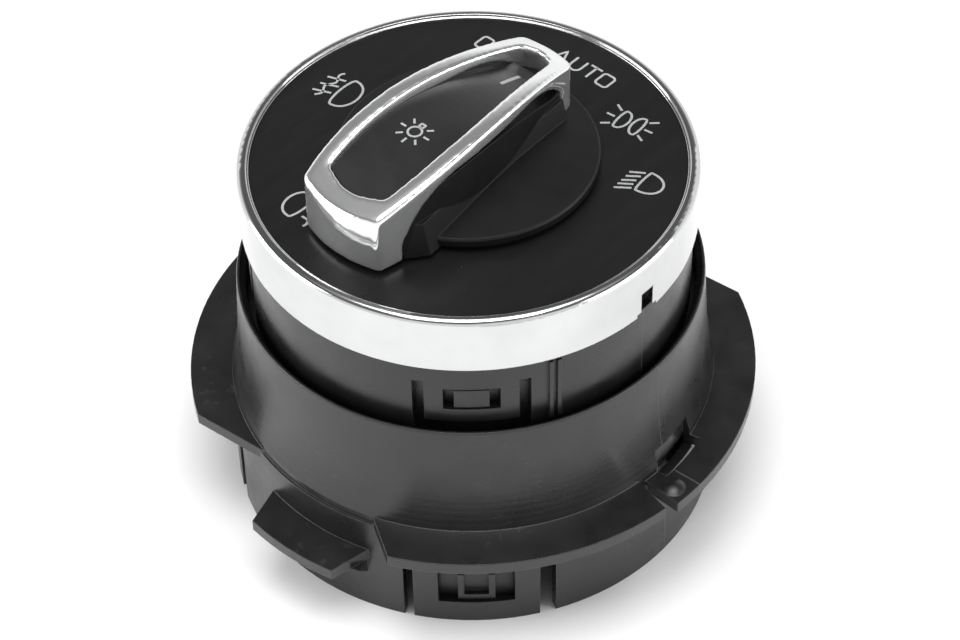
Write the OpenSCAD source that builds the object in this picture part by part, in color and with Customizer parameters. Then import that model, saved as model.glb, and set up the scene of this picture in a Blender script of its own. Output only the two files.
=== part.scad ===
// Rotary headlight switch for a dashboard: dial, pull-and-turn knob, body and mounting collar.
// Frame: +Z along the knob's axis towards the driver, +Y towards twelve o'clock, z = 0 at the rear rim.

/* [View] */
// Sub-part to build, or all of them

/* [Bezel and dial] */
// Outer diameter of the chrome bezel
bezel_d = 66; // [66:0.5:72]
// Height of the bezel's side
bezel_h = 9.3; // [8.6:0.1:9.6]
// Wall of the bezel ring
bezel_wall = 1.8; // [1.7:0.1:2]
// Depth of the dial below the bezel's lip
dial_recess = 0.5; // [0.3:0.1:0.8]
// Thickness of the dial plate
dial_t = 1.8; // [1.6:0.1:2]

/* [Body] */
// Distance from the rear rim to the bezel's lip
body_depth = 58.5; // [58.5:0.5:60]
// Step of the body below the bezel's radius
body_step = 0.7; // [0.6:0.1:0.9]
// Wall of the front housing
housing_wall = 1.6; // [1.4:0.1:1.7]
// Width angle of a snap tab
tab_angle = 23.8; // [22:0.2:25]
// Width angle of the slot beside a snap tab
tab_slot_angle = 2.9; // [2.5:0.1:3.2]

/* [Collar] */
// Outer diameter over the flanges
flange_d = 85.2; // [85:0.2:90]
// Thickness of the flanges
flange_t = 1.9; // [1.7:0.1:2.2]
// Height of the front flanges above the rear rim
flange_z = 19.6; // [19.2:0.1:20]
// Outer diameter of the rear skirt
skirt_d = 73.4; // [73.2:0.2:75]
// Wall of the rear skirt
skirt_wall = 1.5; // [1.4:0.1:1.6]
// Wall of the collar at its rim
rim_wall = 1.3; // [1.2:0.1:1.4]

/* [Knob] */
// Diameter of the knob's base disc
disc_d = 37.6; // [36:0.2:40]
// Length of the grip
grip_len = 42.6; // [40:0.2:43]
// Width of the grip at its widest
grip_w = 15.4; // [14.8:0.2:16]
// Height of the arched grip above the bezel's lip
grip_h = 12.8; // [12:0.1:14]
// Width of the chrome frame round the insert
frame_w = 2.6; // [2.4:0.1:2.8]
// Travel of the knob when it is pulled
pull_travel = 6; // [5:0.2:6]

/* [Mechanism] */
// Diameter of the knob shaft
shaft_d = 10; // [9.6:0.2:10.2]
// Radial clearance of the running fits
run_gap = 0.05; // [0.03:0.01:0.08]
// Gap between moving faces that don't touch
free_gap = 0.35; // [0.32:0.01:0.45]
// Diameter of the detent plunger
plunger_d = 4; // [3.8:0.1:4.2]
// Angle between the knob's positions
step_angle = 30; // [28:1:32]

/* [Connector] */
// Inner length of the connector socket
socket_l = 24; // [22:0.5:25]
// Inner width of the connector socket
socket_w = 9; // [8.5:0.5:10]
// Pins in each row of the connector
pin_count = 5; // [4:1:6]

/* [Hidden] */

$fn = 96;
e = 0.01;

// Levels along the axis
lip_z = body_depth;
dial_z = lip_z - dial_recess;
dial_low = dial_z - dial_t;
bezel_low = lip_z - bezel_h;
bezel_r = bezel_d / 2;
bezel_in = bezel_r - bezel_wall;
lip_round = 0.9;
fit_gap = 0.05;

// Bezel notch
notch_from = -0.8;
notch_to = 3.6;
notch_h = 4.1;
notch_flare = 1.4;
notch_flare_h = 0.6;

// Front housing
house_r = bezel_r - body_step;
house_in = house_r - housing_wall;
neck_r = bezel_in - fit_gap;
neck_in = neck_r - 1.5;
house_low = body_depth - 24.5;
tab_angles = [-46.6, -136.6, 133.4];
tab_low = body_depth - 20.1;
slot_top = body_depth - 12.7;
tab_win_angle = 14.2;
tab_win_low = body_depth - 17.8;
tab_win_high = body_depth - 13.8;
rib_from = -27.4;
rib_w_angle = 1.1;
rib_pitch = 2.1;
rib_proud = 0.55;
rib_low = body_depth - 21;
ledge_t = 1.6;

// Mounting collar
rim_z = body_depth - 20.5;
rim_r = house_r + 2.05;
rim_in = rim_r - rim_wall;
lead_r = bezel_r + 0.9;
lead_h = 0.5;
lead_slope = 0.8;
flange_r = flange_d / 2;
front_z = flange_z;
side_z = front_z - 0.9;
tab_flange_z = front_z - 7.2;
skirt_r = skirt_d / 2;
skirt_in = skirt_r - skirt_wall;
crease_r = skirt_r - 0.4;
wall_low = front_z - 3;
front_span = [-63.5, -6.5];
front_tip = 7.5;
side_span = [-3.2, 59.5];
side_tip = 19;
low_span = [-96.5, -75.8];
low_tip = 5;
root_slot = [0.8, 14.4];
root_slot_in = rim_r + 0.7;
root_slot_w = 2.9;
arm_angles = [-46.5, -136.5, 43.5, 133.5];
arm_half = 14.6;
arm_gap_narrow = 2.3;
arm_gap_wide = 3.8;
arm_top = front_z - 6.2;
arm_win_half = 8.8;
arm_win_low = 4.1;
arm_win_high = 10.6;
dome_r = 1.8;
dome_h = 0.6;
dome_ball = 3;
gusset_w = 1.2;

// Carrier
core_r = house_in - fit_gap;
core_wall = 1.6;
floor_low = body_depth - 28.5;
floor_t = 2;
cboard_t = 1.6;
cboard_low = floor_low - 8;
core_low = cboard_low - pull_travel - 6;
core_top = bezel_low - 1.45;
tooth_half = 4.4;
tooth_low = tab_win_low + 0.3;
tooth_high = tab_win_high - 0.4;
tooth_r = house_r - 0.2;
seat_flange_t = 2;
seat_flange_low = floor_low;
bracket_half = 15.5;
bracket_in = skirt_in - 2.2;
bracket_low = 2.6;
bracket_ledge = front_z - 6;
bracket_rib = 3;
rib_mid = bracket_half - bracket_rib / 2 - 0.3;
rib_lap = 0.1;
rib_sunk = 0.5;
latch_half = 4.3;
latch_low = arm_win_low + 0.2;
latch_high = arm_win_high - 0.9;
latch_r = skirt_r - 0.5;
bear_r = 8;
bear_wall = 1.8;
bear_top = body_depth - 9;

// Boards and light
guide_t = 2;
guide_r = neck_in - 0.3;
guide_low = dial_low - guide_t;
hub_clear_r = shaft_d / 2 + 4.6;
lboard_t = 1.2;
lboard_low = core_top;
led_size = 3;
led_h = 1.1;
led_r = 24.3;
led_angles = [127, 90, 60, 30, -158.5 + 360 + 0.5, -111.5];
cboard_r = 27.4;
board_hole_r = shaft_d / 2 + 0.8;
link_x = -24.5;
link_slot = 3;
link_count = 4;
link_pitch = 2;
link_pin = 0.64;
pin_w = 0.8;
pin_pitch = 3.5;
pin_row = 2;
pin_low = core_low - 4.8;

// Rear cover
cover_t = 2;
socket_low = core_low - 9.2;
socket_wall = 1.4;
socket_floor = core_low + 3.2;
socket_y = -17;
guide_post = 15.5;
post_r = 1.2;

// Rotor and shaft
rotor_low = cboard_low + cboard_t + 1.6;
rotor_disc_t = 2.2;
rotor_disc_low = floor_low - free_gap - rotor_disc_t;
rotor_disc_r = 21;
hub_r = bear_r - run_gap;
hub_top = bear_top - 0.6;
bore_r = shaft_d / 2 + run_gap;
shaft_r = shaft_d / 2;
key_w = 2;
key_out = 1.2;
key_gap = 0.1;
crown_r = 17;
valley_d = 0.5;
valley_r = 1.6;
plunger_r = plunger_d / 2;
plunger_tip = floor_low - free_gap + 0.35;
plunger_len = 7.1;
pocket_wall = 1.2;
pocket_top = floor_low + 15;
spring_wire = 0.5;
detent_stops = [-1.2, 0, 1, 2];
shaft_low = core_low + 0.4;
shaft_bore = 2.3;
groove_low = core_low + 2.2;
groove_h = 2.7;
groove_r = shaft_r - 1.5;
clip_low = rotor_low + 0.6;
clip_wire = 0.8;
clip_open = 55;
clip_arm_half = 18;
clip_slot_half = 30;
clip_slot_gap = 0.15;
key_from = 4;
key_above = 3;
snap_count = 3;

// Contact bridge under the rotor's disc
bridge_in = 12;
bridge_out = 19;
bridge_t = 0.4;
wiper_y = 13.5;
wiper_half = 1.5;
wiper_foot = 2;
wiper_count = 3;

// Fork that follows the shaft, and its contact
fork_back = 4.4;
fork_reach = 17.6;
fork_half = 7;
block_l = 4;
block_half = 3.4;
block_h = 3;
contact_t = 0.4;
contact_half = 2;
contact_lip = 2;

// Knob
knob_low = dial_z + 0.6;
disc_r = disc_d / 2;
disc_rim_h = 1.7;
disc_rise = 0.9;
foot_near = 9.5;
foot_tip = 7.3;
foot_far = 6.1;
foot_lean = 0.24;
grip_near = -25.6;
grip_far = grip_near + grip_len;
near_half = 6.9;
far_half = 4.7;
wide_half = grip_w / 2;
arch_r = 67;
arch_y = grip_near + grip_len / 2;
insert_near = grip_near + 3.3;
insert_far = grip_far - 2.3;
panel_far = 11.6;
arch_cover = 2.5;
arch_fall = 5.6;
panel_drop = 1.5;
panel_bend = 0.0085;
panel_mid = -8.5;
panel_t = 1.4;
outline_steps = 28;
grip_corner = 1.3;
near_bulge = 1;
far_bulge = 0.5;
bulge_steps = 8;

// A sector of a ring
module sector(r_in, r_out, from, to, h) {
    rotate([0, 0, from]) rotate_extrude(angle = to - from)
        translate([r_in, 0]) square([r_out - r_in, h]);
}

// A full ring
module ring(r_in, r_out, h) {
    difference() {
        cylinder(r = r_out, h = h);
        translate([0, 0, -e]) cylinder(r = r_in, h = h + 2 * e);
    }
}

module at(r, angle, z) {
    rotate([0, 0, angle]) translate([r, 0, z]) children();
}

// Chrome ring with a rounded lip and the notch in its lower edge
module bezel_ring() {
    color("silver") difference() {
        rotate_extrude() {
            translate([bezel_in, bezel_low]) square([bezel_wall, bezel_h - lip_round]);
            translate([bezel_in, lip_z - lip_round - e]) square([bezel_wall - lip_round, lip_round - 0.35]);
            translate([bezel_r - lip_round, lip_z - lip_round]) intersection() {
                circle(r = lip_round, $fn = 32);
                square([lip_round, lip_round]);
            }
            translate([bezel_in + 0.35, lip_z - 0.4]) square([bezel_wall - lip_round - 0.34, 0.4]);
        }
        translate([0, 0, bezel_low - e]) sector(bezel_in - 1, bezel_r + 1, notch_from, notch_to, notch_h);
        translate([0, 0, bezel_low - e]) sector(bezel_in - 1, bezel_r + 1, notch_from - notch_flare,
            notch_to + notch_flare, notch_flare_h);
    }
}

// Black dial with the hole for the knob's hub
module face_plate() {
    color("black") translate([0, 0, dial_low]) ring(hub_clear_r, neck_r, dial_t);
}

// Cylinder under the bezel, with snap tabs
module front_housing() {
    color("dimgray") {
        difference() {
            union() {
                translate([0, 0, house_low]) ring(house_in, house_r, bezel_low - house_low - fit_gap);
                translate([0, 0, bezel_low - 1.4]) ring(neck_in, house_r - e, 1.4 - fit_gap);
                translate([0, 0, bezel_low - 1]) ring(neck_in, neck_r, dial_low - bezel_low + 1);
            }
            for (a = tab_angles) {
                for (s = [-1, 1])
                    translate([0, 0, house_low - e]) sector(house_in - 1, house_r + 1,
                        a + s * (tab_angle + tab_slot_angle) / 2 - tab_slot_angle / 2,
                        a + s * (tab_angle + tab_slot_angle) / 2 + tab_slot_angle / 2, slot_top - house_low);
                translate([0, 0, house_low - e]) sector(house_in - 1, house_r + 1,
                    a - tab_angle / 2 - e, a + tab_angle / 2 + e, tab_low - house_low);
                translate([0, 0, tab_win_low]) sector(house_in - 1, house_r + 1,
                    a - tab_win_angle / 2, a + tab_win_angle / 2, tab_win_high - tab_win_low);
            }
        }
        for (k = [0, 1])
            translate([0, 0, rib_low]) sector(house_r - e, house_r + rib_proud,
                rib_from + k * rib_pitch, rib_from + k * rib_pitch + rib_w_angle, bezel_low - 0.6 - rib_low);
    }
}

// One flange: a sector of a ring whose two ends are cut straight from the root to the corner
module flange_plate(z, from, to, tip_from, tip_to) {
    root = crease_r - 0.5;
    far = 2 * flange_r;
    translate([0, 0, z - flange_t]) intersection() {
        sector(skirt_in + 0.2, flange_r, from - tip_from, to + tip_to, flange_t);
        linear_extrude(height = flange_t) polygon([[0, 0],
            root * [cos(from - tip_from), sin(from - tip_from)],
            flange_r * [cos(from), sin(from)], far * [cos(from), sin(from)],
            far * [cos(to), sin(to)], flange_r * [cos(to), sin(to)],
            root * [cos(to + tip_to), sin(to + tip_to)]]);
    }
}

// Radius of the collar's outside at a height: it widens slowly, then flares into the flanges
function collar_r(z) = let (t = (rim_z - z) / (rim_z - front_z))
    rim_r + (crease_r - rim_r) * (0.5 * t + 0.5 * pow(t, 5));

// Collar wall that flares down into the skirt, with a lead inside its rim
module collar_wall() {
    steps = 16;
    top = rim_z - 0.3;
    rotate_extrude() polygon(concat(
        [[lead_r, rim_z], [rim_r - 0.1, rim_z]],
        [for (i = [0:steps]) let (z = top + (front_z - top) * i / steps) [collar_r(z), z]],
        [[crease_r, wall_low], [skirt_in, wall_low]],
        [for (i = [steps:-1:1]) let (z = top + (front_z - 1 - top) * i / steps)
            [min(collar_r(max(z, front_z)) - rim_wall, skirt_in), z]],
        [[rim_in, rim_z - lead_h - lead_slope], [lead_r, rim_z - lead_h]]));
}

module mounting_collar() {
    color("dimgray") difference() {
        union() {
            collar_wall();
            ring(skirt_in, skirt_r, front_z - 1.4);
            for (turn = [0, 180]) rotate([0, 0, turn]) {
                flange_plate(front_z, front_span[0], front_span[1], front_tip, 1);
                flange_plate(side_z, side_span[0], side_span[1], 0.5, side_tip);
                flange_plate(tab_flange_z, low_span[0], low_span[1], low_tip, low_tip);
                at(skirt_r - 0.3, low_span[1] + low_tip - 1.2, tab_flange_z - flange_t)
                    rotate([90, 0, 0]) linear_extrude(height = gusset_w)
                        polygon([[0, 0], [3.2, 0], [0, -3.4]]);
                at(flange_r - 2.6, side_span[0] + 2.6, side_z - e) rotate_extrude($fn = 32) intersection() {
                    translate([0, dome_h - dome_ball]) circle(r = dome_ball);
                    square([dome_r, dome_h]);
                }
            }
        }
        for (turn = [0, 180]) rotate([0, 0, turn])
            translate([0, 0, side_z - flange_t - 0.4]) sector(root_slot_in, root_slot_in + root_slot_w,
                root_slot[0], root_slot[1], flange_t + 4);
        for (a = arm_angles) {
            translate([0, 0, -e]) sector(skirt_in - 1, skirt_r + 1, a - arm_half - arm_gap_narrow,
                a - arm_half, arm_top);
            translate([0, 0, -e]) sector(skirt_in - 1, skirt_r + 1, a + arm_half,
                a + arm_half + arm_gap_wide, arm_top);
            translate([0, 0, arm_win_low]) sector(skirt_in - 1, skirt_r + 1, a - arm_win_half,
                a + arm_win_half, arm_win_high - arm_win_low);
        }
    }
}

// Inner core: bearing, floor, latch teeth and the brackets behind the arms
module mechanism_carrier() {
    seat_r = collar_r(floor_low + seat_flange_t) - rim_wall;
    color("darkslategray") difference() {
        union() {
            translate([0, 0, floor_low]) ring(core_r - core_wall, core_r, core_top - floor_low);
            translate([0, 0, floor_low]) cylinder(r = core_r - e, h = floor_t);
            translate([0, 0, floor_low]) ring(core_r - 1, seat_r, seat_flange_t);
            translate([0, 0, core_low]) ring(core_r - core_wall, core_r, floor_low - core_low + 1);
            translate([0, 0, floor_low]) cylinder(r = bear_r + bear_wall, h = bear_top - floor_low);
            at(crown_r, 90, floor_low) cylinder(r = plunger_r + run_gap + pocket_wall,
                h = pocket_top - floor_low, $fn = 48);
            for (a = tab_angles) translate([0, 0, tooth_low])
                sector(core_r - 0.5, tooth_r, a - tooth_half, a + tooth_half, tooth_high - tooth_low);
            for (a = arm_angles) {
                translate([0, 0, bracket_low]) sector(bracket_in, skirt_in - fit_gap,
                    a - bracket_half, a + bracket_half, wall_low - bracket_low);
                translate([0, 0, bracket_ledge]) sector(core_r - 0.5, bracket_in + 0.5,
                    a - bracket_half, a + bracket_half, 2);
                for (s = [-1, 1]) translate([0, 0, bracket_ledge]) sector(core_r - 0.5, bracket_in + rib_lap,
                    a + s * rib_mid - bracket_rib / 2, a + s * rib_mid + bracket_rib / 2,
                    floor_low + rib_sunk - bracket_ledge);
                translate([0, 0, latch_low]) sector(skirt_in - 0.6, latch_r,
                    a - latch_half, a + latch_half, latch_high - latch_low);
            }
        }
        translate([0, 0, floor_low - 1]) cylinder(r = bear_r, h = bear_top - floor_low + 2);
        at(crown_r, 90, floor_low - 1) cylinder(r = plunger_r + run_gap, h = pocket_top - floor_low - 1, $fn = 48);
        for (a = arm_angles) translate([0, 0, latch_low + 1])
            sector(skirt_in + 0.1, latch_r + 1, a - latch_half + 1.4, a + latch_half - 1.4,
                latch_high - latch_low);
        translate([link_x - link_slot / 2, -link_pitch * (link_count + 1) / 2, floor_low - 1])
            cube([link_slot, link_pitch * (link_count + 1), floor_t + 2]);
    }
}

// Half width of the grip at a place along it
function grip_half(y) = let (t = (y - grip_near) / grip_len)
    near_half * (1 - t) + far_half * t + (wide_half - (near_half + far_half) / 2 + 0.62) * sin(180 * pow(t, 0.8));

// Outline of the grip, drawn inside by a margin
module grip_outline(margin, near, far, corner) {
    y0 = near;
    y1 = far;
    polygon(concat(
        [for (i = [0:outline_steps]) let (y = y0 + corner + (y1 - y0 - 2 * corner) * i / outline_steps)
            [grip_half(y) - margin, y]],
        [for (i = [1:4]) let (a = 90 * i / 5)
            [grip_half(y1 - corner) - margin - corner * (1 - cos(a)), y1 - corner * (1 - sin(a))]],
        [for (i = [0:bulge_steps]) let (u = 1 - 2 * i / bulge_steps)
            [u * (grip_half(y1 - corner) - margin - corner), y1 + far_bulge * (1 - u * u)]],
        [for (i = [4:-1:1]) let (a = 90 * i / 5)
            [-grip_half(y1 - corner) + margin + corner * (1 - cos(a)), y1 - corner * (1 - sin(a))]],
        [for (i = [outline_steps:-1:0]) let (y = y0 + corner + (y1 - y0 - 2 * corner) * i / outline_steps)
            [-grip_half(y) + margin, y]],
        [for (i = [1:4]) let (a = 90 * i / 5)
            [-grip_half(y0 + corner) + margin + corner * (1 - cos(a)), y0 + corner * (1 - sin(a))]],
        [for (i = [0:bulge_steps]) let (u = 2 * i / bulge_steps - 1)
            [u * (grip_half(y0 + corner) - margin - corner), y0 - near_bulge * (1 - u * u)]],
        [for (i = [4:-1:1]) let (a = 90 * i / 5)
            [grip_half(y0 + corner) - margin - corner * (1 - cos(a)), y0 + corner * (1 - sin(a))]]));
}

// Block of the grip under its arched top
module grip_block(margin, near, far, corner, low, drop) {
    intersection() {
        translate([0, 0, low]) linear_extrude(height = lip_z + grip_h + 2 - low)
            grip_outline(margin, near, far, corner);
        translate([-grip_w, arch_y, lip_z + grip_h - drop - arch_r]) rotate([0, 90, 0])
            cylinder(r = arch_r, h = 2 * grip_w, $fn = 240);
    }
}

// Top edge of the side that the chrome leaves open: high in the middle, steep at both ends
function arch_drop(t) = arch_cover + arch_fall * pow(abs(2 * t - 1.06), 5);

// The part of the grip's side that the chrome leaves open
module side_arch() {
    from = grip_near + 4.4;
    to = grip_far - 3.3;
    top = lip_z + grip_h;
    translate([-grip_w, 0, 0]) rotate([90, 0, 90]) linear_extrude(height = 2 * grip_w) polygon(concat(
        [[from, knob_low - 1]],
        [for (i = [0:outline_steps]) let (t = i / outline_steps)
            [from + (to - from) * (0.5 - 0.5 * cos(180 * t)), top - arch_drop(0.5 - 0.5 * cos(180 * t))]],
        [[to, knob_low - 1]]));
}

// Space inside the chrome frame
module frame_inside(margin, low) {
    translate([0, 0, low]) linear_extrude(height = lip_z + grip_h + 3 - low)
        grip_outline(frame_w + margin, insert_near + margin, insert_far - margin, 1.4);
}

module knob_trim() {
    color("silver") difference() {
        grip_block(0, grip_near, grip_far, grip_corner, knob_low, 0);
        side_arch();
        frame_inside(0, knob_low - 1);
    }
}

// Foot of the grip's black walls: it leans in from the crease on the disc to the wall
module grip_foot() {
    high = knob_low + disc_rim_h + 3.5;
    places = [[-disc_r - 2.2, foot_tip], [-disc_r + 0.7, foot_near], [disc_r, foot_far]];
    points = [for (z = [knob_low, high], p = places) let (w = p[1] - (z - knob_low - disc_rim_h) * foot_lean)
        each [[-w, p[0], z], [w, p[0], z]]];
    polyhedron(points, [[0, 1, 3, 5, 4, 2], [6, 8, 10, 11, 9, 7], [0, 6, 7, 1], [4, 5, 11, 10],
        [0, 2, 8, 6], [2, 4, 10, 8], [1, 7, 9, 3], [3, 9, 11, 5]]);
}

// Base disc with its half-disc segments, the grip's black walls and the hub
module knob_body() {
    color("black") {
        difference() {
            union() {
                translate([0, 0, knob_low]) rotate_extrude() polygon([[0, 0], [disc_r - 0.4, 0],
                    [disc_r, 0.4], [disc_r, disc_rim_h - 0.3], [disc_r - 0.3, disc_rim_h],
                    [wide_half, disc_rim_h + disc_rise], [0, disc_rim_h + disc_rise]]);
                intersection() {
                    grip_foot();
                    side_arch();
                }
                translate([0, 0, dial_low - 1]) cylinder(r = hub_clear_r - free_gap, h = knob_low - dial_low + 1 + e);
            }
            difference() {
                translate([0, 0, knob_low - 1]) linear_extrude(height = 8)
                    grip_outline(0, grip_near, grip_far, grip_corner);
                side_arch();
                frame_inside(0, knob_low - 2);
            }
            translate([0, 0, dial_low - 2]) cylinder(r = shaft_r + fit_gap, h = 5);
            translate([0, 0, dial_low - 2]) cylinder(r = shaft_bore, h = 20, $fn = 48);
        }
        difference() {
            union() {
                intersection() {
                    grip_block(0.25, grip_near, grip_far, grip_corner, knob_low + 0.5, 0.5);
                    side_arch();
                }
                intersection() {
                    grip_block(0, grip_near, grip_far, grip_corner, knob_low + 0.5, 0);
                    frame_inside(0, knob_low + 0.5);
                }
            }
            over_panel(panel_t);
            translate([0, 0, knob_low - 1]) cylinder(r = shaft_bore, h = 20, $fn = 48);
        }
    }
}

// Height of the insert's top below the top of the arch: it sinks towards the far end
function panel_depth(y) = panel_drop + panel_bend * pow(y - panel_mid, 2);

// Region above a surface that runs a given depth below the insert's top
module over_panel(depth) {
    top = lip_z + grip_h;
    from = insert_near - near_bulge - e;
    to = insert_far + far_bulge + e;
    translate([-grip_w, 0, 0]) rotate([90, 0, 90]) linear_extrude(height = 2 * grip_w) polygon(concat(
        [for (i = [0:outline_steps]) let (y = from + (to - from) * i / outline_steps)
            [y, top - panel_depth(min(y, panel_far)) - depth]],
        [[to, top + 2], [from, top + 2]]));
}

module knob_insert() {
    color("black") difference() {
        intersection() {
            frame_inside(0.08, knob_low + 1);
            over_panel(panel_t);
            translate([-grip_w, insert_near - 1, knob_low])
                cube([2 * grip_w, panel_far + 1.2 - insert_near + 1, 2 * grip_h]);
        }
        over_panel(0);
    }
}

// Splined shaft, hollow for the light guide, grooved for the clip and the fork
module knob_shaft() {
    color("white") difference() {
        union() {
            translate([0, 0, shaft_low]) cylinder(r = shaft_r, h = dial_low + 1 - shaft_low);
            for (a = [0, 180]) rotate([0, 0, a])
                translate([shaft_r - 1, -key_w / 2, rotor_low + key_from])
                    cube([key_out + 1 - key_gap, key_w, hub_top - rotor_low - key_from - key_above]);
        }
        translate([0, 0, shaft_low - e]) cylinder(r = shaft_bore, h = body_depth, $fn = 48);
        translate([0, 0, groove_low]) ring(groove_r, shaft_r + 1, groove_h);
        for (k = [0:snap_count - 1])
            translate([0, 0, clip_low + clip_wire / 2 - k * pull_travel / (snap_count - 1)])
            rotate_extrude() translate([shaft_r + 0.1, 0]) circle(r = clip_wire / 2 + 0.3, $fn = 24);
    }
}

module knob_light_guide() {
    color("white") {
        translate([0, 0, shaft_low + 2]) cylinder(r = shaft_bore - fit_gap, $fn = 48,
            h = lip_z + grip_h - panel_depth(shaft_bore) - panel_t - 0.1 - shaft_low - 2);
    }
}

// Rotor: hub in the carrier's bearing, disc with the detent crown
module detent_rotor() {
    color("ivory") difference() {
        union() {
            translate([0, 0, rotor_low]) cylinder(r = hub_r, h = hub_top - rotor_low);
            translate([0, 0, rotor_disc_low]) cylinder(r = rotor_disc_r, h = rotor_disc_t);
        }
        translate([0, 0, rotor_low - e]) cylinder(r = bore_r, h = body_depth);
        for (a = [0, 180]) rotate([0, 0, a])
            translate([shaft_r - 1, -key_w / 2 - key_gap, rotor_low + key_from - 0.5])
                cube([key_out + 1 + key_gap, key_w + 2 * key_gap, body_depth]);
        for (k = detent_stops) rotate([0, 0, 90 + k * step_angle])
            translate([crown_r - 2.2, 0, floor_low - free_gap + valley_r - valley_d])
                rotate([0, 90, 0]) cylinder(r = valley_r, h = 4.4, $fn = 32);
        for (a = [90, 270]) translate([0, 0, clip_low - clip_slot_gap])
            sector(shaft_r - 1, hub_r + 1, a - clip_slot_half, a + clip_slot_half, clip_wire + 2 * clip_slot_gap);
    }
}

// Wire clip that wraps the hub and reaches the shaft through two slots
module pull_detent_clip() {
    color("silver") translate([0, 0, clip_low]) {
        sector(hub_r + e, hub_r + clip_wire, clip_open, 360 - clip_open, clip_wire);
        for (a = [90, 270])
            sector(shaft_r + 0.3, hub_r + 0.2, a - clip_arm_half, a + clip_arm_half, clip_wire);
    }
}

module contact_bridge() {
    low = cboard_low + cboard_t + free_gap;
    high = rotor_disc_low - bridge_t;
    color("gold") {
        translate([0, 0, high]) ring(bridge_in, bridge_out, bridge_t);
        for (k = [1:wiper_count]) rotate([0, 0, 360 * k / wiper_count]) translate([-wiper_half, wiper_y, low]) {
            cube([2 * wiper_half, bridge_t, high + e - low]);
            translate([0, bridge_t - wiper_foot, 0]) cube([2 * wiper_half, wiper_foot, bridge_t]);
        }
    }
}

module detent_plunger() {
    color("white") at(crown_r, 90, 0) {
        translate([0, 0, plunger_tip]) cylinder(r1 = 0.6, r2 = 1.3, h = 1.1, $fn = 32);
        translate([0, 0, plunger_tip + 1.1]) cylinder(r = plunger_r, h = plunger_len - 1.1, $fn = 48);
    }
}

// Coil spring: a wire of a few sides swept along a helix
module detent_spring() {
    turns = 5;
    steps = 20;
    sides = 6;
    from = plunger_tip + plunger_len + spring_wire / 2;
    rise = pocket_top - 2 - from - spring_wire / 2;
    count = turns * steps;
    coil_r = plunger_r - spring_wire / 2 - 0.1;
    points = [for (i = [0:count], k = [0:sides - 1])
        let (a = 360 * i / steps, b = 360 * k / sides, r = coil_r + spring_wire / 2 * cos(b))
            [r * cos(a), r * sin(a), from + rise * i / count + spring_wire / 2 * sin(b)]];
    walls = [for (i = [0:count - 1], k = [0:sides - 1]) let (n = (k + 1) % sides)
        [i * sides + k, (i + 1) * sides + k, (i + 1) * sides + n, i * sides + n]];
    ends = [[for (k = [0:sides - 1]) k], [for (k = [sides - 1:-1:0]) count * sides + k]];
    color("silver") at(crown_r, 90, 0) polyhedron(points, concat(walls, ends));
}

// Fork in the shaft's groove, guided on the rear cover's post
module fog_slider() {
    low = groove_low + free_gap;
    color("white") difference() {
        union() {
            translate([-fork_back, -fork_half, low])
                cube([fork_reach + fork_back, 2 * fork_half, groove_h - 2 * free_gap]);
            translate([fork_reach - block_l, -block_half, low]) cube([block_l, 2 * block_half, block_h]);
        }
        translate([0, 0, groove_low]) cylinder(r = groove_r + free_gap, h = groove_h);
        translate([-2 * fork_back, -groove_r - free_gap, groove_low])
            cube([2 * fork_back, 2 * (groove_r + free_gap), groove_h]);
        at(guide_post, 0, groove_low) cylinder(r = post_r + run_gap, h = block_h + 2 * free_gap, $fn = 48);
    }
}

module slider_contact() {
    color("gold") translate([fork_reach, -contact_half, groove_low + free_gap]) {
        cube([contact_t, 2 * contact_half, block_h]);
        translate([0, 0, block_h - contact_t]) cube([contact_lip, 2 * contact_half, contact_t]);
    }
}

module light_guide() {
    color("white") translate([0, 0, guide_low]) ring(hub_clear_r, guide_r, guide_t);
}

module light_board() {
    color("green") translate([0, 0, lboard_low]) ring(hub_clear_r + 1.4, guide_r, lboard_t);
}

module dial_leds() {
    color("white") for (a = led_angles) at(led_r, a, lboard_low + lboard_t)
        translate([-led_size / 2, -led_size / 2, 0]) cube([led_size, led_size, led_h]);
}

module board_link() {
    color("gold") for (k = [0:link_count - 1])
        translate([link_x - link_pin / 2, (k - (link_count - 1) / 2) * link_pitch - link_pin / 2,
            cboard_low + cboard_t])
            cube([link_pin, link_pin, lboard_low - cboard_low - cboard_t]);
}

module contact_board() {
    color("green") translate([0, 0, cboard_low]) ring(board_hole_r, cboard_r, cboard_t);
}

module connector_pins() {
    color("gold") for (k = [0:pin_count - 1], s = [-1, 1])
        translate([(k - (pin_count - 1) / 2) * pin_pitch - pin_w / 2, socket_y + s * pin_row - pin_w / 2, pin_low])
            cube([pin_w, pin_w, cboard_low - pin_low]);
}

// Rear cover with the connector socket and the slider's guide post
module rear_cover() {
    spigot_r = core_r - core_wall - fit_gap;
    color("dimgray") {
        difference() {
            union() {
                translate([0, 0, core_low - cover_t]) cylinder(r = core_r, h = cover_t);
                translate([0, 0, core_low - 1]) ring(spigot_r - 1.8, spigot_r, cboard_low - core_low + 1);
                translate([-socket_l / 2 - socket_wall, socket_y - socket_w / 2 - socket_wall, socket_low])
                    cube([socket_l + 2 * socket_wall, socket_w + 2 * socket_wall, socket_floor + socket_wall - socket_low]);
            }
            translate([-socket_l / 2, socket_y - socket_w / 2, socket_low - 1])
                cube([socket_l, socket_w, socket_floor - socket_low + 1]);
            for (k = [0:pin_count - 1], s = [-1, 1])
                translate([(k - (pin_count - 1) / 2) * pin_pitch - pin_w / 2, socket_y + s * pin_row - pin_w / 2,
                    socket_floor - e]) cube([pin_w, pin_w, 2 * socket_wall]);
        }
        at(guide_post, 0, core_low - e) cylinder(r = post_r, h = cboard_low - core_low + e, $fn = 48);
    }
}

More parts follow.
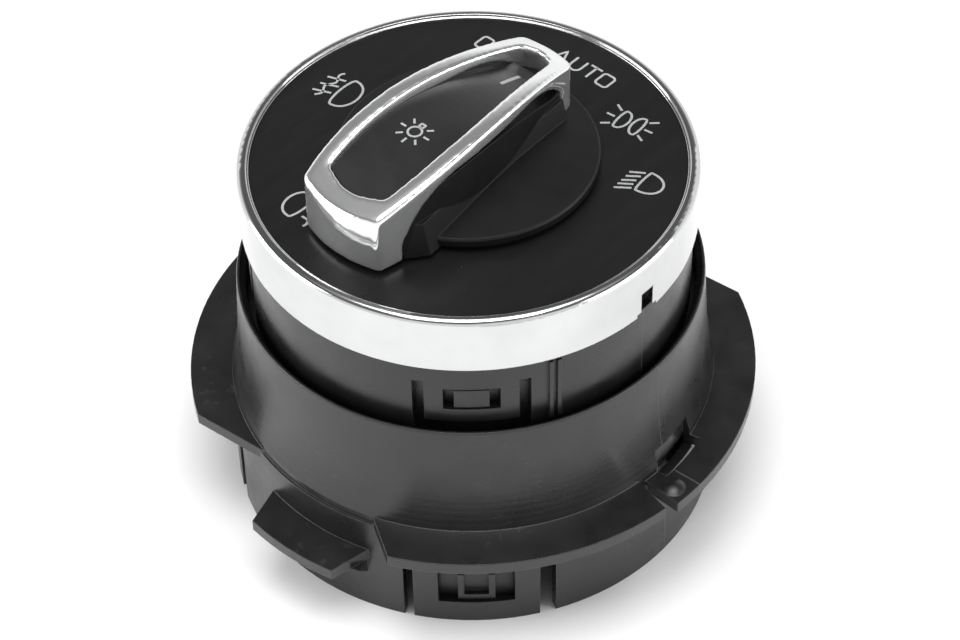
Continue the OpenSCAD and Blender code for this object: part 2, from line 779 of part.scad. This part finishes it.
bezel_ring();
face_plate();
front_housing();
mounting_collar();
mechanism_carrier();
knob_body();
knob_trim();
knob_insert();
knob_shaft();
knob_light_guide();
detent_rotor();
contact_bridge();
pull_detent_clip();
detent_plunger();
detent_spring();
fog_slider();
slider_contact();
light_guide();
light_board();
dial_leds();
board_link();
contact_board();
connector_pins();
rear_cover();
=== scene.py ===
import math

import bmesh
import bpy
from mathutils import Matrix, Vector
from mathutils.bvhtree import BVHTree


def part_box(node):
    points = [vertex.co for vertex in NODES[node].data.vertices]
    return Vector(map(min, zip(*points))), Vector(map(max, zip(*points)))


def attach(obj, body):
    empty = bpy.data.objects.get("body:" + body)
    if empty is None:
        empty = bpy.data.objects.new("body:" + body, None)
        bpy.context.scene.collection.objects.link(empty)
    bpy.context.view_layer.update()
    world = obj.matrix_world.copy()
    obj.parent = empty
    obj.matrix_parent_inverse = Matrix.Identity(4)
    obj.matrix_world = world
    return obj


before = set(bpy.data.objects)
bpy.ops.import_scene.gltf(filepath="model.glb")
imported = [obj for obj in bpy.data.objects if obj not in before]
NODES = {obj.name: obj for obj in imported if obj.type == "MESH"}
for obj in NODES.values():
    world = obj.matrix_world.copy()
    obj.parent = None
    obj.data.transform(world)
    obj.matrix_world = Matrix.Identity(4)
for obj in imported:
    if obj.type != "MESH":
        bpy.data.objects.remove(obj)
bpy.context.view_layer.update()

MM = 0.001

# Height of the dial's face, in metres
DIAL_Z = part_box("face_plate")[1].z

# Camera of the photograph, in the object's frame
CAMERA_PLACE_MM = (218.41, -226.17, 345.297)
CAMERA_RIGHT = (0.73265, 0.68043, -0.01549)
CAMERA_UP = (-0.47731, 0.5299, 0.70099)
CAMERA_BACK = (0.48518, -0.50619, 0.713)
LENS_MM = 112.5
SENSOR_MM = 36.0
CLIP_NEAR = 0.01
CLIP_FAR = 20.0

# Studio, in metres and watts: each soft box has a place, a width, a height and a power
FLOOR_REACH = 3.0
FLOOR_CELLS = 6
LIGHT_AIM = (0.0, 0.0, 0.04)
SOFT_BOXES = {
    "overhead": ((0.05, -0.05, 0.75), 0.5, 0.5, 3.8),
    "left": ((-0.55, -0.5, 0.3), 0.6, 0.5, 4.5),
    "right": ((0.62, 0.35, 0.28), 0.6, 0.5, 3.0),
}

# Grey of the light tent by height, from the horizon at 0 to straight up at 1
TENT_STOPS = ((0.0, 1.0), (0.36, 1.0), (0.52, 0.40), (0.66, 0.13), (0.82, 0.13), (0.93, 0.6), (1.0, 0.9))

# Values that materials share: where most of a noise lies, edges, grain, and the greys of wear, of the
# painted highlight on rounded edges, and of scuffs and seams
NOISE_LOW, NOISE_HIGH = 0.3, 0.7
CLOUD_LOW, CLOUD_HIGH = 0.35, 0.65
EDGE_MM = 0.25
GRAIN_MM = 0.35
PEEL_MM = 0.25
ROUGH_SPREAD = 0.06
SEAM_MM = 0.12
# Grey of paler rounded edges: partly wear, partly a painted highlight
WORN_AND_LIT_GREY = 0.32
SCUFF_GREY = 0.12
SEAM_GREY = 0.10
DUST_COLOUR = (0.4, 0.4, 0.39)
PIT_COLOUR = (0.22, 0.21, 0.2)

# Rounding of the chrome trim: the fine mesh's cell, and how often and how far it is relaxed
TRIM_CELL_MM = 0.2
TRIM_PASSES = 45
RELAX_SHARE = 0.5

# Printing ink, with the widths of its strokes in millimetres
INK_THICK = 0.02 * MM
INK_SUNK = 0.01 * MM
STROKE = 0.36
FINE_STROKE = 0.33
POINTER_STROKE = 0.6
STROKE_STEP = 0.5


# Shader helpers


class Shader:
    """A material with a Principled surface, and short calls for the nodes that feed it."""

    def __init__(self, name):
        self.material = bpy.data.materials.new(name)
        self.material.use_nodes = True
        self.tree = self.material.node_tree
        self.tree.nodes.clear()
        self.surface = self.add("ShaderNodeBsdfPrincipled")
        output = self.add("ShaderNodeOutputMaterial")
        self.tree.links.new(self.surface.outputs["BSDF"], output.inputs["Surface"])
        self.place = self.add("ShaderNodeTexCoord").outputs["Object"]

    def add(self, kind, **settings):
        node = self.tree.nodes.new(kind)
        for key, value in settings.items():
            setattr(node, key, value)
        return node

    def put(self, socket, value):
        """Links an output to a socket, or sets the socket's own value."""
        if isinstance(value, bpy.types.NodeSocket):
            self.tree.links.new(value, socket)
        else:
            socket.default_value = value

    def feed(self, name, value):
        """Links or sets an input of the surface."""
        self.put(self.surface.inputs[name], value)

    def scaled_place(self, stretch):
        mapping = self.add("ShaderNodeMapping")
        self.put(mapping.inputs["Vector"], self.place)
        self.put(mapping.inputs["Scale"], stretch)
        return mapping.outputs["Vector"]

    def noise(self, size_mm, detail=3.0, stretch=None):
        """Noise whose features are about size_mm across, drawn out along an axis by a small stretch."""
        node = self.add("ShaderNodeTexNoise")
        self.put(node.inputs["Vector"], self.place if stretch is None else self.scaled_place(stretch))
        self.put(node.inputs["Scale"], 1 / (size_mm * MM))
        self.put(node.inputs["Detail"], detail)
        return node.outputs["Fac"]

    def ramp(self, value, low, high, to_low=0.0, to_high=1.0):
        """Takes low to to_low and high to to_high, and holds what lies beyond at these."""
        node = self.add("ShaderNodeMapRange", clamp=True)
        self.put(node.inputs["Value"], value)
        self.put(node.inputs["From Min"], low)
        self.put(node.inputs["From Max"], high)
        self.put(node.inputs["To Min"], to_low)
        self.put(node.inputs["To Max"], to_high)
        return node.outputs["Result"]

    def spread(self, noise, to_low=0.0, to_high=1.0):
        """Spreads a noise over a range of values."""
        return self.ramp(noise, NOISE_LOW, NOISE_HIGH, to_low, to_high)

    def math(self, operation, a, b=None):
        node = self.add("ShaderNodeMath", operation=operation)
        self.put(node.inputs[0], a)
        if b is not None:
            self.put(node.inputs[1], b)
        return node.outputs["Value"]

    def times(self, a, b):
        return self.math("MULTIPLY", a, b)

    def mix(self, factor, a, b):
        node = self.add("ShaderNodeMix", data_type="RGBA")
        self.put(node.inputs["Factor"], factor)
        self.put(node.inputs["A"], a)
        self.put(node.inputs["B"], b)
        return node.outputs["Result"]

    def bevel(self, radius_mm, samples=6):
        node = self.add("ShaderNodeBevel", samples=samples)
        self.put(node.inputs["Radius"], radius_mm * MM)
        return node.outputs["Normal"]

    def edges(self, rounded):
        """1 on edges and 0 on flat faces, from how far a rounded normal leans from the true one."""
        on_edge, on_face = 0.80, 0.98
        geometry = self.add("ShaderNodeNewGeometry")
        node = self.add("ShaderNodeVectorMath", operation="DOT_PRODUCT")
        self.put(node.inputs[0], rounded)
        self.put(node.inputs[1], geometry.outputs["Normal"])
        return self.ramp(node.outputs["Value"], on_edge, on_face, 1.0, 0.0)

    def specks(self, cell_mm, radius_mm, share):
        """Sparse round specks of dust: 1 in a speck and 0 elsewhere."""
        reach, core_share = radius_mm / cell_mm, 0.6
        node = self.add("ShaderNodeTexVoronoi")
        self.put(node.inputs["Vector"], self.place)
        self.put(node.inputs["Scale"], 1 / (cell_mm * MM))
        near = self.ramp(node.outputs["Distance"], reach * core_share, reach, 1.0, 0.0)
        split = self.add("ShaderNodeSeparateColor")
        self.put(split.inputs["Color"], node.outputs["Color"])
        return self.times(near, self.math("LESS_THAN", split.outputs["Red"], share))

    def seam(self, angle, radius_mm):
        """A thin upright parting line at an angle round the axis: 1 on the line and 0 elsewhere."""
        half_turn, core_share = SEAM_MM / radius_mm, 0.4
        split = self.add("ShaderNodeSeparateXYZ")
        self.put(split.inputs["Vector"], self.place)
        turn = self.math("ARCTAN2", split.outputs["Y"], split.outputs["X"])
        away = self.math("ABSOLUTE", self.math("SUBTRACT", turn, math.radians(angle)))
        return self.ramp(away, core_share * half_turn, half_turn, 1.0, 0.0)

    def scuffs(self, share):
        """Patches of fine, pale rub marks: share in a mark and 0 elsewhere."""
        marks = self.ramp(self.noise(1.6, 6.0, (1.0, 1.0, 4.0)), 0.60, 0.66)
        patches = self.ramp(self.noise(16.0, 2.0), 0.54, 0.62)
        return self.times(self.times(marks, patches), share)

    def bump(self, height, depth_mm, normal=None):
        node = self.add("ShaderNodeBump")
        self.put(node.inputs["Height"], height)
        self.put(node.inputs["Distance"], depth_mm * MM)
        if normal is not None:
            self.put(node.inputs["Normal"], normal)
        return node.outputs["Normal"]


def shade(colour, share=1.0):
    return tuple(c * share for c in colour) + (1.0,)


def grey(value):
    return (value, value, value, 1.0)


# Materials


def moulded(name, colour, rough, grain_depth=0.012, edge_wear_and_light=0.3, dust=0.0, cloud_mm=14.0, shine=0.5,
            seam_at=None, scuffed=0.0):
    """Moulded plastic: a fine spark-eroded grain, faint clouds, paler rounded edges that are partly wear and
    partly a painted highlight, and a little dust.

    The shares of paler edges (wear and painted highlight), of dust and of scuffs run from 0 to 1, and
    seam_at is a parting line's angle and radius in mm.
    """
    look = Shader(name)
    clouds = look.ramp(look.noise(cloud_mm, 4.0), CLOUD_LOW, CLOUD_HIGH)
    base = look.mix(clouds, shade(colour, 0.92), shade(colour, 1.08))
    rounded = look.bevel(EDGE_MM)
    # Paler rounded edges, in patches: partly wear and partly a painted highlight where edges catch the light
    edge_patches = look.ramp(look.noise(2.5, 5.0), 0.42, 0.62, 0.35, 1.0)
    worn_and_lit_edges = look.times(look.times(look.edges(rounded), edge_patches), edge_wear_and_light)
    base = look.mix(worn_and_lit_edges, base, grey(WORN_AND_LIT_GREY))
    if dust:
        base = look.mix(look.specks(3.1, 0.09, dust), base, shade(DUST_COLOUR))
    if scuffed:
        base = look.mix(look.scuffs(scuffed), base, grey(SCUFF_GREY))
    if seam_at is not None:
        parting = look.seam(*seam_at)
        base = look.mix(look.times(parting, 0.5), base, grey(SEAM_GREY))
        rounded = look.bump(parting, 0.05, rounded)
    look.feed("Base Color", base)
    look.feed("Specular IOR Level", shine)
    look.feed("Roughness", look.spread(look.noise(5.0, 4.0), rough - ROUGH_SPREAD, rough + ROUGH_SPREAD))
    look.feed("Normal", look.bump(look.noise(GRAIN_MM, 2.0), grain_depth, rounded))
    return look.material


def plated(name, streak_stretch, bright, metal, streak=0.5, edge_mm=0.3):
    """Bright chrome plating: nearly mirror-like, with faint polishing streaks, haze and tiny pits."""
    look = Shader(name)
    haze = look.ramp(look.noise(6.0, 4.0), CLOUD_LOW, 0.7)
    streaks = look.noise(0.5, 3.0, streak_stretch)
    base = look.mix(haze, shade((0.99, 0.995, 1.0), bright), shade((0.92, 0.925, 0.93), bright))
    base = look.mix(look.specks(4.2, 0.07, 0.25), base, shade(PIT_COLOUR))
    look.feed("Metallic", metal)
    look.feed("Base Color", base)
    look.feed("Roughness", look.math("ADD", look.ramp(haze, 0.0, 1.0, 0.05, 0.09),
                                     look.spread(streaks, 0.0, 0.05 * streak)))
    soft = look.bump(look.noise(9.0, 2.0), 0.02, look.bevel(edge_mm, 10))
    look.feed("Normal", look.bump(streaks, 0.0004, soft))
    return look.material


def satin_dial():
    """Black lacquer on the dial: satin, with fine orange peel, a few wiping marks and dust."""
    look = Shader("dial_lacquer")
    clouds = look.spread(look.noise(22.0, 3.0))
    base = look.mix(clouds, shade((0.0065, 0.0065, 0.0072)), shade((0.0085, 0.0085, 0.0092)))
    look.feed("Base Color", look.mix(look.specks(4.6, 0.07, 0.1), base, grey(0.4)))
    wiped = look.noise(1.4, 5.0, (1.0, 0.12, 1.0))
    look.feed("Roughness", look.ramp(wiped, NOISE_LOW, 0.75, 0.27, 0.34))
    look.feed("Specular IOR Level", 0.35)
    look.feed("Normal", look.bump(look.noise(PEEL_MM, 2.0), 0.0015))
    return look.material


def soft_knob():
    """Soft-touch black on the knob's body."""
    look = Shader("knob_satin")
    clouds = look.spread(look.noise(9.0, 3.0))
    look.feed("Base Color", look.mix(clouds, shade((0.003, 0.003, 0.0033)), shade((0.0042, 0.0042, 0.0045))))
    look.feed("Specular IOR Level", 0.25)
    look.feed("Roughness", look.spread(look.noise(3.0, 4.0), 0.42, 0.52))
    look.feed("Normal", look.bump(look.noise(0.3, 2.0), 0.006, look.bevel(EDGE_MM)))
    return look.material


def insert_lacquer():
    """Satin lacquer of the knob's insert."""
    look = Shader("insert_lacquer")
    clouds = look.spread(look.noise(11.0, 3.0))
    base = look.mix(clouds, shade((0.012, 0.012, 0.0125)), shade((0.015, 0.015, 0.0155)))
    look.feed("Base Color", look.mix(look.specks(3.8, 0.06, 0.08), base, grey(0.35)))
    look.feed("Roughness", look.spread(look.noise(4.0, 4.0), 0.3, 0.38))
    look.feed("Specular IOR Level", 0.45)
    look.feed("Normal", look.bump(look.noise(PEEL_MM, 2.0), 0.002, look.bevel(0.2)))
    return look.material


def clear_plastic():
    """Clear acrylic of the light guides, slightly uneven."""
    look = Shader("clear_acrylic")
    clouds = look.noise(8.0, 2.0)
    look.feed("Base Color", look.mix(clouds, shade((0.93, 0.95, 0.96)), shade((0.88, 0.91, 0.93))))
    look.feed("Transmission Weight", 0.85)
    look.feed("IOR", 1.49)
    look.feed("Roughness", look.spread(look.noise(3.0, 3.0), 0.08, 0.2))
    look.feed("Normal", look.bump(look.noise(2.0, 2.0), 0.004))
    return look.material


def circuit_board():
    """Green solder mask with the faint relief of the copper under it."""
    look = Shader("solder_mask")
    tracks = look.add("ShaderNodeTexBrick")
    look.put(tracks.inputs["Vector"], look.place)
    look.put(tracks.inputs["Scale"], 1 / (6.0 * MM))
    look.put(tracks.inputs["Mortar Size"], 0.04)
    lines = tracks.outputs["Fac"]
    look.feed("Base Color", look.mix(lines, shade((0.012, 0.10, 0.045)), shade((0.02, 0.17, 0.07))))
    look.feed("Roughness", look.spread(look.noise(3.0, 3.0), 0.25, 0.35))
    look.feed("Normal", look.bump(lines, 0.03))
    return look.material


def bare_metal(name, colour, rough):
    """Drawn or stamped metal with fine lines along its length."""
    look = Shader(name)
    lines = look.noise(0.2, 3.0, (1.0, 1.0, 0.1))
    look.feed("Metallic", 1.0)
    look.feed("Base Color", look.mix(look.noise(2.0, 4.0), shade(colour, 0.85), shade(colour, 1.1)))
    look.feed("Roughness", look.spread(lines, rough - ROUGH_SPREAD, rough + ROUGH_SPREAD))
    look.feed("Normal", look.bump(lines, 0.002, look.bevel(0.08, 4)))
    return look.material


def printed_ink():
    """Silver-grey printing ink of the signs."""
    look = Shader("sign_ink")
    cover = look.noise(0.18, 3.0)
    look.feed("Base Color", look.mix(look.ramp(cover, CLOUD_LOW, CLOUD_HIGH), shade((0.34, 0.345, 0.35)),
                                     shade((0.43, 0.435, 0.44))))
    look.feed("Roughness", look.spread(cover, 0.45, 0.6))
    look.feed("Normal", look.bump(cover, 0.004))
    return look.material


def floor_paper():
    """Matt white paper with a faint tooth."""
    look = Shader("studio_white")
    look.feed("Base Color", look.mix(look.noise(60.0, 2.0), grey(0.93), grey(0.95)))
    look.feed("Roughness", 0.8)
    look.feed("Normal", look.bump(look.noise(1.2, 2.0), 0.01))
    return look.material


def finish_nodes():
    """Gives every CAD node its procedural material."""
    # The edge share sets paler rounded edges: partly wear, partly a painted highlight
    housing = moulded("housing_plastic", (0.007, 0.007, 0.0075), 0.31, edge_wear_and_light=0.1, dust=0.12, shine=0.55,
                      grain_depth=0.006, seam_at=(1.4, 32.3), scuffed=0.15)
    collar = moulded("collar_plastic", (0.0085, 0.0087, 0.0092), 0.31, edge_wear_and_light=0.12, dust=0.12, shine=0.6,
                     grain_depth=0.006, seam_at=(3.4, 35.0), scuffed=0.12)
    carrier = moulded("carrier_plastic", (0.010, 0.010, 0.0105), 0.4, edge_wear_and_light=0.2, dust=0.1, shine=0.6)
    natural = moulded("acetal", (0.74, 0.72, 0.66), 0.4, grain_depth=0.006, edge_wear_and_light=0.0, cloud_mm=8.0)
    led = moulded("led_epoxy", (0.82, 0.76, 0.5), 0.3, grain_depth=0.004, edge_wear_and_light=0.0, cloud_mm=3.0)
    brass = bare_metal("plated_brass", (0.78, 0.6, 0.3), 0.25)
    steel = bare_metal("spring_wire", (0.56, 0.56, 0.57), 0.28)
    clear = clear_plastic()
    board = circuit_board()
    bezel_chrome = plated("bezel_chrome", (1.0, 1.0, 0.03), bright=0.68, metal=1.0)
    trim_chrome = plated("trim_chrome", (1.0, 0.2, 0.6), bright=0.88, metal=0.86, streak=0.1, edge_mm=0.2)
    finishes = {
        "bezel_ring": bezel_chrome, "knob_trim": trim_chrome,
        "face_plate": satin_dial(), "front_housing": housing, "mounting_collar": collar,
        "mechanism_carrier": carrier, "rear_cover": carrier, "knob_body": soft_knob(),
        "knob_insert": insert_lacquer(), "knob_shaft": natural, "detent_rotor": natural,
        "detent_plunger": natural, "fog_slider": natural, "knob_light_guide": clear, "light_guide": clear,
        "light_board": board, "contact_board": board, "dial_leds": led, "board_link": brass,
        "contact_bridge": brass, "connector_pins": brass, "slider_contact": brass,
        "detent_spring": steel, "pull_detent_clip": steel,
    }
    for name, material in finishes.items():
        data = NODES[name].data
        data.materials.clear()
        data.materials.append(material)


def round_off(name, cell_mm, passes):
    """Rounds all edges of a plated piece: a fine even mesh, relaxed a number of times."""
    fine = NODES[name].modifiers.new("fine_mesh", "REMESH")
    fine.mode = "VOXEL"
    fine.voxel_size = cell_mm * MM
    fine.use_smooth_shade = True
    relaxed = NODES[name].modifiers.new("rounded_edges", "SMOOTH")
    relaxed.factor = RELAX_SHARE
    relaxed.iterations = passes


# Scene helpers


def add_object(name, data):
    """Puts a new object with this data into the scene."""
    added = bpy.data.objects.new(name, data)
    bpy.context.scene.collection.objects.link(added)
    return added


def add_mesh(name, bm, material):
    """Turns a finished bmesh into a new object of one material."""
    mesh = bpy.data.meshes.new(name)
    bm.to_mesh(mesh)
    bm.free()
    mesh.materials.append(material)
    return add_object(name, mesh)


# Strokes of the signs: each one is (points, closed), in millimetres from the axis, with x at three
# o'clock on the dial and y at twelve


def arc(cx, cy, r, start, stop, steps):
    """Points of an arc, with its angles in degrees."""
    return [(cx + r * math.cos(math.radians(start + (stop - start) * i / steps)),
             cy + r * math.sin(math.radians(start + (stop - start) * i / steps)))
            for i in range(steps + 1)]


def rounded_box(cx, cy, width, height, r):
    """A rounded rectangle."""
    points = []
    for sx, sy, start in ((1, 1, 0), (-1, 1, 90), (-1, -1, 180), (1, -1, 270)):
        points += arc(cx + sx * (width / 2 - r), cy + sy * (height / 2 - r), r, start, start + 90, 5)
    return (points, True)


def bulge(foot, head, depth, back):
    """A lamp's outline from foot to head, with a round side and a nearly flat back.

    depth is how far the round side stands out, to the right or, if negative, to the left, and back
    is how far the other side does.
    """
    steps, fullness = 14, 0.85
    (x0, y0), (x1, y1) = foot, head
    cx, cy = (x0 + x1) / 2, (y0 + y1) / 2
    ux, uy = (x1 - x0) / 2, (y1 - y0) / 2
    length = math.hypot(ux, uy)
    nx, ny = uy / length, -ux / length
    points = []
    for i in range(2 * steps):
        a = math.pi * i / steps
        side = depth if i < steps else -math.copysign(back, depth)
        along, out = -math.cos(a), abs(math.sin(a)) ** (fullness if i < steps else 1.0)
        points.append((cx + ux * along + nx * side * out, cy + uy * along + ny * side * out))
    return (points, True)


def wave(x, top, foot, sway, period):
    """A wavy upright line."""
    steps = 22
    places = [top + (foot - top) * i / steps for i in range(steps + 1)]
    return ([(x - sway * math.sin(2 * math.pi * (top - y) / period), y) for y in places], False)


def line(x0, y0, x1, y1):
    """A straight line."""
    return ([(x0, y0), (x1, y1)], False)


def dense(points, closed):
    """The same stroke with points close enough together to follow a curved surface."""
    result = []
    ends = len(points) if closed else len(points) - 1
    for i in range(ends):
        (x0, y0), (x1, y1) = points[i], points[(i + 1) % len(points)]
        parts = max(1, math.ceil(math.hypot(x1 - x0, y1 - y0) / STROKE_STEP))
        result += [(x0 + (x1 - x0) * k / parts, y0 + (y1 - y0) * k / parts) for k in range(parts)]
    return result if closed else result + [points[-1]]


def ribbon(bm, points, closed, width, surface_z):
    """Adds a stroke as a thin closed slab; surface_z gives the height in metres at a point in mm."""
    count = len(points)
    rings = []
    for i, (x, y) in enumerate(points):
        before = points[i - 1] if closed or i else points[i]
        after = points[(i + 1) % count] if closed or i < count - 1 else points[i]
        dx, dy = after[0] - before[0], after[1] - before[1]
        length = math.hypot(dx, dy) or 1.0
        nx, ny = -dy / length * width / 2, dx / length * width / 2
        left, right = (x + nx, y + ny), (x - nx, y - ny)
        ring = []
        for (px, py), lift in ((left, INK_THICK), (right, INK_THICK), (right, -INK_SUNK), (left, -INK_SUNK)):
            ring.append(bm.verts.new((px * MM, py * MM, surface_z(px, py) + lift)))
        rings.append(ring)
    for i in range(count if closed else count - 1):
        here, there = rings[i], rings[(i + 1) % count]
        for k in range(4):
            n = (k + 1) % 4
            bm.faces.new((here[k], here[n], there[n], there[k]))
    if not closed:
        bm.faces.new(rings[0][::-1])
        bm.faces.new(rings[-1])


def sign(name, strokes, body, ink, surface_z, width=STROKE):
    """One printed sign, laid on a surface."""
    bm = bmesh.new()
    for points, closed in strokes:
        ribbon(bm, dense(points, closed), closed, width, surface_z)
    bmesh.ops.recalc_face_normals(bm, faces=bm.faces)
    piece = add_mesh(name, bm, ink)
    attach(piece, body)


# Signs


def sign_zero():
    return [rounded_box(-15.65, 20.3, 1.9, 2.6, 0.5)]


def word_auto():
    """AUTO, letter by letter."""
    top, foot = 27.1, 24.5
    a_left, a_middle, a_right = -6.2, -5.15, -4.1
    bar_left, bar_right, bar_up = -5.8, -4.5, 0.75
    u_left, u_middle, u_right, u_radius, u_up = -3.1, -2.15, -1.2, 0.95, 0.9
    t_left, t_middle, t_right = -0.55, 0.52, 1.6
    o_middle, o_width, o_corner = 3.2, 2.1, 0.55
    u_bend = arc(u_middle, foot + u_up, u_radius, 180, 360, 8)
    return [
        ([(a_left, foot), (a_middle, top), (a_right, foot)], False),
        line(bar_left, foot + bar_up, bar_right, foot + bar_up),
        ([(u_left, top), (u_left, foot + u_up)] + u_bend + [(u_right, top)], False),
        line(t_left, top, t_right, top),
        line(t_middle, top, t_middle, foot),
        rounded_box(o_middle, (top + foot) / 2, o_width, top - foot, o_corner),
    ]


def sign_side_lights():
    left_lamp = bulge((10.6, 19.1), (10.15, 22.9), 1.35, 0.4)
    right_lamp = bulge((13.75, 19.5), (13.25, 23.35), -1.2, 0.4)
    rays = [(8.0, 23.1, 9.35, 22.45), (8.0, 20.7, 9.35, 20.85), (8.7, 18.4, 9.75, 19.35),
            (14.05, 23.05, 15.1, 24.05), (14.4, 21.5, 15.75, 21.7), (14.45, 19.95, 15.7, 19.45)]
    return [left_lamp, right_lamp] + [line(*ray) for ray in rays]


def sign_dipped_beam():
    lamp = bulge((21.7, 11.1), (21.25, 15.3), 3.0, 0.3)
    rays = [(18.62, 13.36, 20.53, 14.70), (18.78, 12.38, 20.46, 13.71), (18.86, 11.34, 20.53, 12.68),
            (18.94, 10.45, 20.71, 11.80), (19.06, 9.51, 21.02, 11.05)]
    return [lamp] + [line(*ray) for ray in rays]


def sign_front_fog():
    lamp = bulge((-23.1, -4.6), (-23.65, 1.5), 2.6, 0.75)
    fog = wave(-26.1, 1.6, -4.6, 0.38, 3.0)
    rays = [(-27.6, -0.55, -24.85, 0.5), (-27.4, -2.25, -24.75, -1.1), (-27.3, -3.95, -24.65, -2.8)]
    return [lamp, fog] + [line(*ray) for ray in rays]


def sign_rear_fog():
    lamp = bulge((-10.8, -25.2), (-10.9, -19.7), -2.55, 0.65)
    fog = wave(-8.0, -19.6, -25.3, 0.3, 3.0)
    rays = [(-9.3, -23.95, -6.7, -23.9), (-9.4, -22.3, -6.8, -22.25), (-9.3, -20.65, -6.7, -20.6)]
    return [lamp, fog] + [line(*ray) for ray in rays]


def sign_lamp():
    """A bulb with seven rays; its base takes the place of the eighth."""
    cx, cy, radius, last_angle = -0.42, -9.97, 1.0, 345
    base_up, base_width, base_height, base_corner = 1.5, 0.72, 0.7, 0.1
    ray_in, ray_out, ray_count, base_ray = 1.65, 2.65, 8, 2
    strokes = [(arc(cx, cy, radius, 0, last_angle, 22), True),
               rounded_box(cx, cy + base_up, base_width, base_height, base_corner)]
    for i in range(ray_count):
        if i != base_ray:
            a = math.radians(i * 360 / ray_count)
            strokes.append(line(cx + ray_in * math.cos(a), cy + ray_in * math.sin(a),
                                cx + ray_out * math.cos(a), cy + ray_out * math.sin(a)))
    return strokes


def sign_pointer():
    return [line(0.0, 7.0, 0.05, 10.8)]


def print_on_dial(ink):
    signs = {
        "sign_zero": sign_zero(),
        "sign_auto": word_auto(),
        "sign_side_lights": sign_side_lights(),
        "sign_dipped_beam": sign_dipped_beam(),
        "sign_front_fog": sign_front_fog(),
        "sign_rear_fog": sign_rear_fog(),
    }

    def dial_z(x, y):
        return DIAL_Z

    for name, strokes in signs.items():
        sign(name, strokes, "housing", ink, dial_z)


def print_on_insert(ink):
    """The insert is arched, so a ray from above finds its height under each point."""
    panel = bmesh.new()
    panel.from_mesh(NODES["knob_insert"].data)
    tree = BVHTree.FromBMesh(panel)
    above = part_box("knob_insert")[1].z + MM

    def insert_z(x, y):
        hit = tree.ray_cast(Vector((x * MM, y * MM, above)), Vector((0, 0, -1)))[0]
        return hit.z if hit else above - MM

    sign("sign_lamp", sign_lamp(), "knob", ink, insert_z, FINE_STROKE)
    sign("sign_pointer", sign_pointer(), "knob", ink, insert_z, POINTER_STROKE)
    panel.free()


def print_signs():
    ink = printed_ink()
    print_on_dial(ink)
    print_on_insert(ink)


# Studio


def make_camera():
    data = bpy.data.cameras.new("camera")
    data.lens = LENS_MM
    data.sensor_width = SENSOR_MM
    data.clip_start = CLIP_NEAR
    data.clip_end = CLIP_FAR
    camera = add_object("camera", data)
    columns = Matrix((CAMERA_RIGHT, CAMERA_UP, CAMERA_BACK)).transposed()
    camera.matrix_world = Matrix.Translation(Vector(CAMERA_PLACE_MM) * MM) @ columns.to_4x4()
    bpy.context.scene.camera = camera


def make_floor():
    bm = bmesh.new()
    bmesh.ops.create_grid(bm, x_segments=FLOOR_CELLS, y_segments=FLOOR_CELLS, size=FLOOR_REACH)
    floor = add_mesh("floor", bm, floor_paper())


def make_world():
    """A light tent: white round the horizon, dark higher up and paler again straight above."""
    world = bpy.data.worlds.new("light_tent")
    world.use_nodes = True
    tree = world.node_tree
    tree.nodes.clear()
    place = tree.nodes.new("ShaderNodeTexCoord")
    split = tree.nodes.new("ShaderNodeSeparateXYZ")
    tree.links.new(place.outputs["Generated"], split.inputs["Vector"])
    ramp = tree.nodes.new("ShaderNodeValToRGB")
    while len(ramp.color_ramp.elements) < len(TENT_STOPS):
        ramp.color_ramp.elements.new(0.5)
    for element, (height, value) in zip(ramp.color_ramp.elements, TENT_STOPS):
        element.position = height
        element.color = grey(value)
    tree.links.new(split.outputs["Z"], ramp.inputs["Fac"])
    background = tree.nodes.new("ShaderNodeBackground")
    tree.links.new(ramp.outputs["Color"], background.inputs["Color"])
    output = tree.nodes.new("ShaderNodeOutputWorld")
    tree.links.new(background.outputs["Background"], output.inputs["Surface"])
    bpy.context.scene.world = world


def soft_box(name, place, width, height, power):
    data = bpy.data.lights.new(name, "AREA")
    data.shape = "RECTANGLE"
    data.size = width
    data.size_y = height
    data.energy = power
    light = add_object(name, data)
    light.location = place
    light.rotation_mode = "QUATERNION"
    light.rotation_quaternion = (Vector(LIGHT_AIM) - Vector(place)).to_track_quat("-Z", "Y")


make_camera()
make_floor()
make_world()
for box_name, box_values in SOFT_BOXES.items():
    soft_box(box_name, *box_values)
bpy.context.scene.view_settings.view_transform = "Standard"
finish_nodes()
round_off("knob_trim", TRIM_CELL_MM, TRIM_PASSES)
print_signs()
